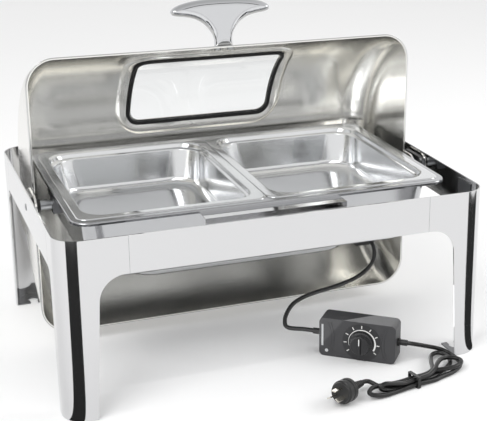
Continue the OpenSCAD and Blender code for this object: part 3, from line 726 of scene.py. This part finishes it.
@dataclass(frozen=True)
class Cords:
    """The heater cord, and the mains cord with its tied bundle.

    Attributes:
        diameter: Diameter of both cords in millimetres.
        box_at: Middle of the controller on the floor.
        turn: Turn of the controller, degrees.
        reach: From its middle to the tip of a strain relief.
        height: Height of the strain reliefs.
        tie_at: Middle of the bundle on the floor.
        lay: Turn of the bundle, degrees.
    """

    diameter: float = 6.4
    box_at: tuple[float, float] = (134.0, -178.0)
    turn: float = -39.0
    reach: float = 71.5
    height: float = 30.0
    tie_at: tuple[float, float] = (167.0, -293.5)
    lay: float = 11.0

    def tip(self, side: int, past: float) -> list[float]:
        """A point on the axis of the left (-1) or right (1) strain relief, past its tip."""
        a = math.radians(self.turn)
        way = side * (self.reach + past)
        return [self.box_at[0] + way * math.cos(a), self.box_at[1] + way * math.sin(a), self.height]

    def lane(self, spots: Sequence[Sequence[float]]) -> list[list[float]]:
        """Points given along, across and above the bundle, carried to the part's frame."""
        place = rotate_z(self.lay, *self.tie_at)
        return (np.asarray(spots, float) @ place[:3, :3].T + place[:3, 3]).tolist()

    def heater_path(self) -> Array:
        """Centre line from the terminal box to the controller, in millimetres."""
        return np.array([
            [204, -50, 127.95], [204, -56, 127.95], [205.5, -66, 119], [203, -71, 103],
            [190, -72, 87], [172, -74, 78], [152, -76, 73], [128, -78, 69],
            [104, -81, 67], [82, -85, 64], [64, -89, 58], [52, -95, 49],
            [45, -102, 39], [46, -111, 31], self.tip(-1, 14), self.tip(-1, 0)], float)

    def mains_path(self) -> Array:
        """Centre line from the controller through the bundle to the plug, in millimetres."""
        enter = [self.tip(1, 0), self.tip(1, 8), [207, -230, 27], [222, -225, 20], [237, -220, 13],
                 [249, -222, 8], [256.5, -232, 5], [258.5, -248, 4], [256, -263, 3.8],
                 [246, -275, 3.6], [230, -284, 3.5], [213, -289.5, 3.4]]
        first = self.lane([(30, -7.4, 3.4), (0, -6.5, 4.8), (-30, -7.0, 3.6), (-54, -7.8, 4.0),
                           (-70, -6.0, 6.5), (-77, 0.0, 9.5), (-68, 6.0, 12.0), (-50, 6.0, 11.4),
                           (-25, 3.9, 9.8), (0, 3.3, 10.4), (22, 3.2, 10.0)])
        upper = [[203, -277, 10.5], [214, -252, 10], [224, -233, 8], [236, -225, 7],
                 [245, -231, 6.5], [247, -245, 5.6], [242, -258, 4.8], [231, -268, 4.2],
                 [216, -276.5, 3.8]]
        second = self.lane([(33, 0.8, 3.5), (0, 0.0, 4.8), (-30, -0.4, 3.4), (-46, -0.6, 5.4),
                            (-57, -1.0, 10.0), (-59, -1.6, 15.0), (-52, -2.4, 17.6),
                            (-40, -3.2, 15.0), (-20, -3.6, 10.2), (0, -3.3, 10.4),
                            (22, -3.2, 11.0)])
        lower = [[203, -284, 13.5], [214, -271, 15], [226, -259, 14], [238, -254, 12.5],
                 [249, -258, 11.8], [254, -267, 11.3], [249, -276, 11], [238, -281, 10.6],
                 [224, -282, 10.2], [211, -280.4, 9.8], [199, -279.6, 6.4]]
        third = self.lane([(22, 7.6, 3.8), (0, 6.5, 4.8), (-26, 7.2, 3.6), (-40, 9.8, 3.8),
                           (-50, 15.0, 5.8)])
        leave = [[108.5, -281.0, 8.2], [104.5, -277.0, 9.6], [98.3, -276.9, 10.8],
                 [90.9, -281.9, 12.0]]
        return np.array(enter + first + upper + second + lower + third + leave, float)

    def cord(self, name: str, path: Array, replaced: Sequence[str]) -> None:
        """Args:
            name: Name of the piece.
            path: Its smooth centre line in millimetres.
            replaced: CAD nodes it stands for.
        """
        tube = sweep(path, self.diameter / 2, detail(20))
        piece = Assembly().add(name, tube, JACKET, "cord_jacket", replaced, sharp=60)
        log.info("%s: %.0f mm long", name, length_of(path))

    def build(self) -> None:
        """Makes both cords."""
        steps = detail(10)
        self.cord("cord_to_heater", catmull(self.heater_path(), steps), ["heater_cord"])
        self.cord("mains_cord_bundled", catmull(self.mains_path(), steps), ["mains_cord", "cord_hank"])


# ---------------------------------------------------------------- lid


@dataclass
class Lid(Assembly):
    """The swing-over lid: a drum cut by its mouth plane, with a window, band and handle.

    Attributes:
        end: Half length of the lid.
        half: Half height of the mouth.
        depth: Depth behind the mouth.
        edge: Radius between round back and end wall.
        sheet: Sheet thickness.
        pivot: Height of the pivot.
        back: Mouth plane behind the pivot.
        window_at: Angle of the window's middle, degrees.
        glass: Half width and half height of the glass.
        grip_half: Half thickness of the cast handle.
        grip_round: How far in from its outline the handle is rounded.
        grip_at: Angle of the handle, degrees.
        grip_gap: Gap between handle and shell.
    """

    end: float = 292.0
    half: float = 206.0
    depth: float = 175.0
    edge: float = 40.0
    sheet: float = 1.5
    pivot: float = 228.0
    back: float = 14.0
    window_at: float = 38.0
    glass: tuple[float, float] = (116.0, 75.0)
    grip_half: float = 9.5
    grip_round: float = 12.5
    grip_at: float = 75.5
    grip_gap: float = 0.3
    body: Body = Body.LID

    @property
    def radius(self) -> float:
        """Radius of the drum."""
        return (self.half ** 2 + self.depth ** 2) / (2 * self.depth)

    @property
    def centre(self) -> float:
        """Y of the drum's axis."""
        return self.back + self.depth - self.radius

    def point(self, x: Array, r: Array, theta: Array) -> Array:
        """Points at radius r and angle theta about the drum's axis."""
        return np.stack([x, self.centre + r * np.cos(theta), self.pivot + r * np.sin(theta)], axis=-1)

    def meridian(self, grow: float, wall: int, arc: int, spans: Sequence[float]) -> Array:
        """(x, radius) from one end wall's middle over the back to the other.

        Args:
            grow: Offset of the surface outward.
            wall: Steps on each end wall.
            arc: Steps on each rounded edge.
            spans: X values of the straight part, both ends included.

        Returns:
            Rows of x and radius.
        """
        low = self.back - self.centre
        r, e, h = self.radius + grow, self.edge + grow, self.end + grow
        climb = low + (r - e - low) * np.linspace(0, 1, wall, endpoint=False) ** 0.8
        wall_part = np.stack([np.full(wall, -h), climb], axis=1)
        a = np.linspace(0, math.pi / 2, arc, endpoint=False)
        arc_part = np.stack([-h + e - e * np.cos(a), r - e + e * np.sin(a)], axis=1)
        mid = np.stack([np.asarray(spans, float), np.full(len(spans), r)], axis=1)
        left = np.vstack([wall_part, arc_part])
        right = left[::-1] * [-1, 1]
        return np.vstack([left, mid, right])

    def skin(self, grow: float, fine: int) -> tuple[Shape, Array, Array]:
        """One skin of the shell with its window hole.

        Args:
            grow: Offset of the skin outward.
            fine: Mesh fineness.

        Returns:
            The skin, its mouth edge points and the edge points of the hole.
        """
        low = self.back - self.centre
        flat = self.end - self.edge
        hw, hh = self.glass[0] - 4, self.glass[1] - 4
        # the part of the grid that gives way to the window, and the steps in and round it
        px, pu = hw + 50, hh + 12
        wall, side, wide = 5 * fine, 3 * fine, 12 * fine
        below, tall, above = 12 * fine, 8 * fine, 3 * fine
        inner_x = np.linspace(-px, px, wide + 1)
        outer_x = np.linspace(-flat, -px, side + 1)[:-1]
        spans = np.concatenate([outer_x, inner_x, -outer_x[::-1]])
        rows = self.meridian(grow, wall, wall, spans)
        full = math.acos(low / self.radius)
        mid = math.radians(self.window_at)
        lo = (mid - math.asin(pu / self.radius)) / full
        hi = (mid + math.asin(pu / self.radius)) / full
        cols = np.concatenate([np.linspace(-1, lo, below + 1)[:-1], np.linspace(lo, hi, tall + 1),
                               np.linspace(hi, 1, above + 1)[1:]])
        limit = np.arccos(np.clip(low / rows[:, 1], -1, 1))
        theta = limit[:, None] * cols[None, :]
        grid = self.point(np.repeat(rows[:, :1], len(cols), 1),
                          np.repeat(rows[:, 1:], len(cols), 1), theta)
        n, m = grid.shape[:2]
        quads = grid_quads(n, m).reshape(n - 1, m - 1, 4)
        i0 = 2 * wall + side
        i1 = i0 + wide
        j0 = below
        j1 = j0 + tall
        keep = np.ones((n - 1, m - 1), bool)
        keep[i0:i1, j0:j1] = False
        shell = Shape(grid.reshape(-1, 3), quads[keep])
        mouth = np.concatenate([grid[:, 0], grid[::-1, -1]])
        # ring between the cut-out block of the grid and the rounded outline of the window
        ii = np.concatenate([np.arange(i0, i1), np.full(tall, i1),
                             np.arange(i1, i0, -1), np.full(tall, i0)])
        jj = np.concatenate([np.full(wide, j0), np.arange(j0, j1),
                             np.full(wide, j1), np.arange(j1, j0, -1)])
        outer = np.stack([rows[ii, 0], cols[jj]], axis=1)
        inner = self.outline(hw, hh, 16.0, (wide, tall))
        inner = np.stack([inner[:, 0], (mid + np.arcsin(inner[:, 1] / self.radius)) / full], axis=1)
        t = np.linspace(0, 1, 5)[:, None, None]
        ring = outer[None] * (1 - t) + inner[None] * t
        r = self.radius + grow
        span = math.acos(low / r)
        points = self.point(ring[..., 0], np.full(ring.shape[:2], r), ring[..., 1] * span)
        patch = Shape(points.reshape(-1, 3), grid_quads(5, len(outer), close=True))
        return Shape.join(shell, patch), mouth, points[-1]

    @staticmethod
    def outline(hw: float, hh: float, corner: float, counts: tuple[int, int]) -> Array:
        """Rounded rectangle from its lower left corner's middle, resampled evenly on each side.

        Args:
            hw: Half width.
            hh: Half height.
            corner: Corner radius.
            counts: Points on the long and the short sides.

        Returns:
            Points counter-clockwise.
        """
        quarter = np.linspace(0, math.pi / 4, 9)
        out = []
        for k, (a, b, n) in enumerate(((hw, hh, counts[0]), (hh, hw, counts[1])) * 2):
            # one side seen from its own front: half of each corner and the straight between
            left = np.stack([-a + corner - corner * np.sin(math.pi / 4 - quarter),
                             -b + corner - corner * np.cos(math.pi / 4 - quarter)], axis=1)
            right = (left * [-1, 1])[::-1]
            side = np.vstack([left, right])
            run = np.concatenate([[0], np.cumsum(np.linalg.norm(np.diff(side, axis=0), axis=1))])
            at = np.linspace(0, run[-1], n, endpoint=False)
            line = np.stack([np.interp(at, run, side[:, 0]), np.interp(at, run, side[:, 1])], axis=1)
            c, s = (1, 0, -1, 0)[k], (0, 1, 0, -1)[k]
            out.append(line @ np.array([[c, s], [-s, c]]))
        return np.vstack(out)

    @staticmethod
    def bridge(one: Array, two: Array) -> Shape:
        """A closed strip between two loops of matching points."""
        return Shape(np.vstack([one, two]), grid_quads(2, len(one), close=True))

    def shell(self) -> None:
        """The brushed shell: two skins joined at the mouth and round the window."""
        fine = detail(4)
        outer, mouth_o, hole_o = self.skin(0.0, fine)
        inner, mouth_i, hole_i = self.skin(-self.sheet, fine)
        flipped = Shape(inner.points, inner.faces[:, ::-1])
        self.add("lid_shell_pressed",
                 Shape.join(outer, flipped, self.bridge(mouth_i, mouth_o), self.bridge(hole_o, hole_i)),
                 SATIN_LID, "satin_sheet", ["lid_shell"], sharp=50)

    def section(self, grow: float, y: float, count: int) -> Array:
        """Outline of the drum cut by the upright plane at y, as a closed loop.

        Args:
            grow: Offset outward.
            y: Y of the plane.
            count: Steps on each part.

        Returns:
            Points of the loop.
        """
        r, e, h = self.radius + grow, self.edge + grow, self.end + grow
        gap = y - self.centre
        tall = math.sqrt((r - e) ** 2 - gap ** 2)
        wall = np.stack([np.full(count, -h), np.linspace(0, tall, count, endpoint=False)], axis=1)
        a = np.linspace(0, math.pi / 2, 2 * count, endpoint=False)
        rr = r - e + e * np.sin(a)
        arc = np.stack([-h + e - e * np.cos(a), np.sqrt(rr ** 2 - gap ** 2)], axis=1)
        top = np.array([[-h + e, math.sqrt(r * r - gap * gap)]])
        quarter = np.vstack([wall, arc, top])
        half = np.vstack([quarter, quarter[::-1] * [-1, 1]])
        loop = np.vstack([half[:-1], (half[1:] * [1, -1])[::-1]])
        return np.stack([loop[:, 0], np.full(len(loop), y), self.pivot + loop[:, 1]], axis=1)

    def band(self) -> None:
        """The polished folded band round the mouth, with a rounded front edge."""
        n = detail(14)
        # profile round the band: growth outward and distance behind the mouth
        profile = fillet([(0.03, 0.0), (1.5, 0.0), (1.5, 1.6), (1.25, 2.4), (1.25, 8.0), (0.05, 8.0),
                          (0.05, 0.4)], (0, 0.8, 0.5, 0.4, 0.5, 0.1, 0), 4)
        loops = np.array([self.section(g, self.back + d, n) for g, d in np.vstack([profile, profile[:1]])])
        shape = Shape(loops.reshape(-1, 3), grid_quads(len(loops), loops.shape[1], close=True))
        self.add("lid_mouth_band", shape, RIM_SHEET, "satin_sheet", ["lid_band"], sharp=50)

    def ring(self, outer: Array, inner: Array, grow: Sequence[float]) -> Shape:
        """A curved plate with a hole, between two outlines given in (x, across).

        Args:
            outer: Outer outline, matching the inner point by point.
            inner: Inner outline.
            grow: Section round the ring as (share from outer to inner, growth) pairs.

        Returns:
            The closed ring.
        """
        loops = []
        for share, g in grow:
            flat = outer * (1 - share) + inner * share
            theta = math.radians(self.window_at) + np.arcsin(flat[:, 1] / self.radius)
            loops.append(self.point(flat[:, 0], np.full(len(flat), self.radius + g), theta))
        loops = np.array(loops + loops[:1])
        return Shape(loops.reshape(-1, 3), grid_quads(len(loops), len(outer), close=True))

    def window(self) -> None:
        """Glass, rubber channel and the raised plate round it."""
        n = ((72, 48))
        w, h = self.glass
        t = -self.sheet - 0.05
        rubber_out = self.outline(w + 3, h + 3, 21, n)
        rubber_in = self.outline(w - 2.2, h - 2.2, 16, n)
        self.add("window_rubber", self.ring(rubber_out, rubber_in, [
            (0, t - 0.6), (0.04, t), (0.96, t), (1, t - 0.6), (1, t - 4.0), (0.9, t - 4.8), (0.7, t - 5),
            (0.15, t - 5), (0, t - 4.4)]), GASKET, "black_rubber", ["window_gasket"])
        plate_in = self.outline(w + 3.1, h + 3.1, 21, n)
        plate_out = self.outline(w + 20, h + 20, 44, n)
        self.add("window_surround_raised", self.ring(plate_out, plate_in, [
            (0, t - 0.2), (0, t), (1, t), (1, t - 2.2), (0.88, t - 2.8), (0.5, t - 2.8), (0.3, t - 2.5),
            (0.12, t - 1.2)]),
            SATIN_LID, "satin_sheet", ["window_frame"], sharp=60)
        steps = 21
        x = np.linspace(-1, 1, steps)
        grid_x, grid_u = np.meshgrid(x * w, x * h, indexing="ij")
        # pull the corners in to the glass's rounded outline
        pull = 1 - 0.06 * (grid_x / w) ** 8 * (grid_u / h) ** 8
        skins = []
        for g in (t - 2.0, t - 4.0):
            theta = math.radians(self.window_at) + np.arcsin(grid_u * pull / self.radius)
            skins.append(self.point(grid_x * pull, np.full(grid_x.shape, self.radius + g), theta))
        edge = [np.concatenate([s[:-1, 0], s[-1, :-1], s[:0:-1, -1], s[0, :0:-1]]) for s in skins]
        top = Shape(skins[0].reshape(-1, 3), grid_quads(steps, steps))
        low = Shape(skins[1].reshape(-1, 3), grid_quads(steps, steps)[:, ::-1])
        self.add("window_pane", Shape.join(top, low, self.bridge(edge[1], edge[0])),
                 GLASS, "window_glass", ["window_glass"], sharp=30)

    def handle(self) -> None:
        """The cast handle: thickness grows from the outline inward as a quarter round."""
        side = np.array([[0.01, 71], [24, 70.5], [44, 68.5], [60, 65], [70, 61], [75, 57], [76, 53],
                         [73, 49.5], [66, 47.6], [54, 46.0], [42, 43.0], [32, 38], [23, 30],
                         [16, 19], [13.5, 9], [14.5, 0]])
        fine = catmull(side, detail(8))
        fine[:, 1] = np.minimum.accumulate(fine[:, 1])
        c = np.sin(np.linspace(-math.pi / 2, math.pi / 2, detail(41)))
        x = fine[:, :1] * c[None, :]
        z = np.repeat(fine[:, 1:], len(c), axis=1)
        loop = np.vstack([fine, (fine * [-1, 1])[::-1]])
        a, b = loop[:-1], loop[1:]
        p = np.stack([x, z], axis=-1)[:, :, None, :]
        ab = b - a
        t = np.clip(((p - a) * ab).sum(-1) / np.maximum((ab ** 2).sum(-1), 1e-9), 0, 1)
        gap = np.linalg.norm(p - a - t[..., None] * ab, axis=-1).min(axis=2)
        deep = self.grip_half * np.sqrt(1 - np.clip(1 - gap / self.grip_round, 0, 1) ** 2)
        front = np.stack([x, -deep, z], axis=-1)
        rear = np.stack([x, deep, z], axis=-1)
        quads = grid_quads(*x.shape)
        base = Shape(np.vstack([front[-1], rear[-1]]), grid_quads(2, x.shape[1]))
        cast = Shape.join(Shape(front.reshape(-1, 3), quads), Shape(rear.reshape(-1, 3), quads[:, ::-1]),
                          base)
        tilt = tilt_x(self.grip_at - 90)
        reach = self.radius + self.grip_gap
        tilt[:3, 3] = np.array([0, self.centre, self.pivot]) + tilt[:3, 2] * reach
        self.add("handle_cast", cast.moved(tilt), CHROME, "cast_chrome", ["handle"], sharp=70)

    def build(self) -> None:
        """All pieces of the lid."""
        self.shell()
        self.band()
        self.window()
        self.handle()


# ---------------------------------------------------------------- pans


@dataclass
class PressedPan(Assembly):
    """A pan pressed from one sheet: rounded rectangles stacked along a thick profile.

    Attributes:
        name: Name of the piece.
        node_name: CAD node it stands for.
        centre: X of its middle.
        half: Half length and half width of the rim.
        top: Height of the rim.
        profile: Rows of inset, height below the rim, corner radius.
        radii: Fillet radius at each row.
        sheet: Sheet thickness.
        finish: Its steel.
        extra: More inset across than along.
    """

    name: str
    node_name: str
    centre: float
    half: tuple[float, float]
    top: float
    profile: Sequence[Sequence[float]]
    radii: Sequence[float]
    sheet: float
    finish: Finish
    body: Body = Body.FRAME
    extra: float = 0.0

    def build(self) -> None:
        """Makes the pan."""
        seg = detail(14)
        line = thicken(fillet(self.profile, self.radii, detail(8)), self.sheet)
        a, b = self.half
        more = self.extra * np.clip(line[:, 0] / 19.0, 0, 1)
        along = np.maximum(a - line[:, 0], 0.5)
        across = np.maximum(b - line[:, 0] - more, 0.5)
        loops = rounded_loop(along, across, line[:, 2], seg)
        z = np.repeat((self.top + line[:, 1])[:, None, None], loops.shape[1], axis=1)
        points = np.concatenate([loops, z], axis=2) + [self.centre, 0, 0]
        points = np.concatenate([points, points[:1]])
        n = points.shape[1]
        shape = Shape(points.reshape(-1, 3), grid_quads(len(points), n, close=True))
        self.add(self.name, shape, self.finish, "pan_steel", [self.node_name], sharp=60)


def pans() -> list[PressedPan]:
    """The water pan and the two food pans, their profiles as inset, height and corner radius."""
    food = [(0.5, -5.5, 15), (0.5, -0.5, 15), (12.6, -0.5, 34), (13.6, -7.5, 38), (17.0, -9.0, 40),
            (22.6, -64.4, 50), (131.5, -64.4, 50)]
    food_r = (0, 1.4, 2.2, 1.6, 1.6, 14, 0)
    water = [(0.6, -5.0, 25), (0.6, -0.75, 25), (18.4, -0.75, 29), (28.6, -98.2, 38), (172.5, -98.2, 38)]
    water_r = (0, 1.6, 3.0, 24, 0)
    food_half, food_middle, food_top = (132.2, 162.5), 132.5, 256.25
    made = [PressedPan("water_pan_pressed", "water_pan", 0.0, (273, 174), 255.0, water, water_r, 1.2,
                       WATER_STEEL, extra=3.0)]
    for side, x, body in (("left", -food_middle, Body.PAN_LEFT), ("right", food_middle, Body.PAN_RIGHT)):
        made.append(PressedPan(f"food_pan_{side}_pressed", f"food_pan_{side}", x, food_half, food_top,
                               food, food_r, 1.0, PAN_STEEL, body))
    return made


# ---------------------------------------------------------------- controller and plug


@dataclass
class Controller(Assembly):
    """Printed scale, knob and face details of the controller.

    Attributes:
        at: Middle of the controller on the floor, in millimetres.
        turn: Its turn about Z, degrees.
        face: Its front face, across from its middle.
        dial: Middle of the dial, along the face and up.
    """

    at: tuple[float, float] = (134.0, -178.0)
    turn: float = -39.0
    face: float = -16.0
    dial: tuple[float, float] = (7.0, 28.2)

    def matrix(self) -> Array:
        """From the dial's frame, +Z out of the face, to the part's frame."""
        lay = np.array([[1, 0, 0, self.dial[0]], [0, 0, -1, self.face], [0, 1, 0, self.dial[1]],
                        [0, 0, 0, 1]], float)
        return rotate_z(self.turn, *self.at) @ lay

    def strip(self, inner: Array, outer: Array, low: float, high: float) -> Shape:
        """A raised flat strip between two lines of matching points.

        Args:
            inner: One line, in the plane of the face.
            outer: The other line.
            low: Height of its underside.
            high: Height of its top.

        Returns:
            The closed strip.
        """
        rows = [np.column_stack([line, np.full(len(line), z)]) for line, z in
                ((outer, low), (outer, high), (inner, high), (inner, low), (outer, low))]
        body = Shape(np.vstack(rows), grid_quads(5, len(inner)))
        ends = []
        for k in (0, len(inner) - 1):
            quad = np.array([row[k] for row in rows[:4]])
            ends.append(Shape(quad, np.array([[0, 1, 2, 3] if k == 0 else [3, 2, 1, 0]])))
        return Shape.join(body, *ends)

    def marks(self) -> None:
        """Nine ticks and the tapering arc, printed on the plate."""
        parts = []
        near, far, half, low, high = 22.5, 27.0, 0.6, 0.74, 0.9
        for angle in np.radians(np.linspace(215, -35, 9)):
            way = np.array([math.cos(angle), math.sin(angle)])
            side = np.array([-way[1], way[0]])
            inner = np.array([way * near - side * half, way * far - side * half])
            outer = np.array([way * near + side * half, way * far + side * half])
            parts.append(self.strip(inner, outer, low, high))
        sweep_ = np.radians(np.linspace(200, -30, 40))
        fat = np.linspace(0.3, 2.6, 40)[:, None]
        ring = np.stack([np.cos(sweep_), np.sin(sweep_)], axis=1)
        arc = 19.4
        parts.append(self.strip(ring * arc, ring * (arc + fat), low, high))
        self.add("dial_printed_marks", Shape.join(*parts).moved(self.matrix()), INK, "scale_print",
                 sharp=30)

    def knob(self) -> None:
        """The turning knob with a fluted edge and a pointer bar."""
        profile = fillet([(0.01, 0.9), (17.6, 0.9), (17.6, 3.2), (14.9, 4.2), (13.9, 13.4), (0.01, 13.4)],
                         (0, 0.6, 0.8, 0.8, 1.4, 0), 5)
        body = revolve(profile, detail(180), 0.8, 36)
        left = np.array([[-1.9, -13.0], [-1.4, 13.2]])
        bar = self.strip(left, left * [-1, 1], 13.3, 16.4)
        whole = Shape.join(body, bar).moved(self.matrix())
        dial = Assembly()
        dial.body = Body.DIAL
        dial.add("dial_knob_fluted", whole, KNOB, "knob_plastic", ["dial_knob"], sharp=40)
        left = np.array([[-0.7, 2.0], [-0.7, 12.4]])
        line = self.strip(left, left * [-1, 1], 16.35, 16.6)
        dial.add("dial_pointer_line", line.moved(self.matrix()), INK, "scale_print", sharp=30)

    def ribs(self) -> None:
        """Curved raised lines moulded into the face near both ends."""
        parts = []
        for x0, bow in ((-40.0, 5.0), (-44.0, 5.0), (41.0, -5.0), (45.0, -5.0)):
            t = np.linspace(-1, 1, 24)
            line = np.stack([x0 - self.dial[0] + bow * (1 - t ** 2), t * 24 + 30 - self.dial[1]], axis=1)
            parts.append(self.strip(line + [-0.55, 0], line + [0.55, 0], -0.3, 0.6))
        self.add("controller_face_ribs", Shape.join(*parts).moved(self.matrix()), HOUSING,
                 "box_plastic", sharp=30)

    def build(self) -> None:
        """All details of the controller."""
        self.marks()
        self.knob()
        self.ribs()


@dataclass
class Plug(Assembly):
    """The moulded plug and its ribbed strain relief.

    Attributes:
        at: Middle of the plug in millimetres.
        turn: Its turn about Z, degrees.
        tilt: How far its face looks down, degrees.
        relief: Where the strain relief starts and ends along the plug's axis.
        ribs: Number of ribs along the relief.
    """

    at: tuple[float, float, float] = (65.4, -299.1, 16.35)
    turn: float = 214.0
    tilt: float = 8.0
    relief: tuple[float, float] = (-31.1, -7.1)
    ribs: float = 5.5

    def matrix(self) -> Array:
        """From the plug's frame, +Z out of its face, to the part's frame."""
        c, s = math.cos(math.radians(self.tilt)), math.sin(math.radians(self.tilt))
        over = np.array([[s, 0, c, 0], [0, 1, 0, 0], [-c, 0, s, 0], [0, 0, 0, 1]], float)
        return rotate_z(self.turn, *self.at) @ over

    def build(self) -> None:
        """The body with grip grooves, and the ribbed relief."""
        seg = detail(96)
        body = fillet([(0.01, -7), (8, -7), (13.5, -1), (16.3, 2.5), (16.4, 9), (15.3, 10.2),
                       (15.3, 12.4), (16.4, 13.6), (16.4, 19.4), (14.6, 20.4), (14.4, 24.0), (0.01, 24.0)],
                      (0, 1, 3, 3, 1, 0.8, 0.8, 1, 1, 0.6, 1.2, 0), 5)
        self.add("plug_moulded", revolve(body, seg).moved(self.matrix()), NYLON, "black_nylon",
                 ["plug_body"], sharp=45)
        low, high = self.relief
        z = np.linspace(low, high, 80)
        share = (z - low) / (high - low)
        ripple = 0.55 * np.maximum(0, np.sin(share * 2 * math.pi * self.ribs))
        rows = np.vstack([[0.01, low], np.column_stack([4.4 + share * 2.4 - ripple, z]), [0.01, high]])
        self.add("plug_strain_relief", revolve(rows, seg).moved(self.matrix()), NYLON, "black_nylon",
                 ["plug_relief"], sharp=60)


# ---------------------------------------------------------------- frame nodes


@dataclass(frozen=True)
class NodeDresser:
    """Gives the CAD nodes that stay their finishes and soft edges.

    Attributes:
        bevels: Width of the soft edge in millimetres, and the nodes that have it.
    """

    bevels: tuple[tuple[float, str], ...] = (
        (0.4, "leg_front_left leg_front_right leg_back_left leg_back_right rail_front rail_back"),
        (0.4, "rail_left rail_right front_shelf plug_blades lid_hub_left lid_hub_right cord_tie"),
        (0.5, "pan_saddle_left pan_saddle_right"), (1.5, "terminal_box"),
        (1.6, "controller_front controller_back"))

    def build(self) -> None:
        """Assigns materials from the record's slots and adds live bevels."""
        for part in frame["record"]["subparts"]:
            piece = frame["nodes"][part["node"]]
            piece.data.materials.clear()
            piece.data.materials.append(BY_SLOT[part["material_slot"]].build())
        for width, names in self.bevels:
            for name in names.split():
                edge = frame["nodes"][name].modifiers.new("edge", "BEVEL")
                edge.width = width * MM
                edge.segments = 2
                edge.limit_method = "ANGLE"
                edge.angle_limit = math.radians(50)
                edge.harden_normals = True


def main() -> None:
    """Builds the scene in order."""
    logging.basicConfig(level=logging.INFO, format="%(name)s: %(message)s")
    Studio().build()
    Cords().build()
    NodeDresser().build()
    Lid().build()
    for pan in pans():
        pan.build()
    Controller().build()
    Plug().build()


if __name__ == "__main__":
    main()
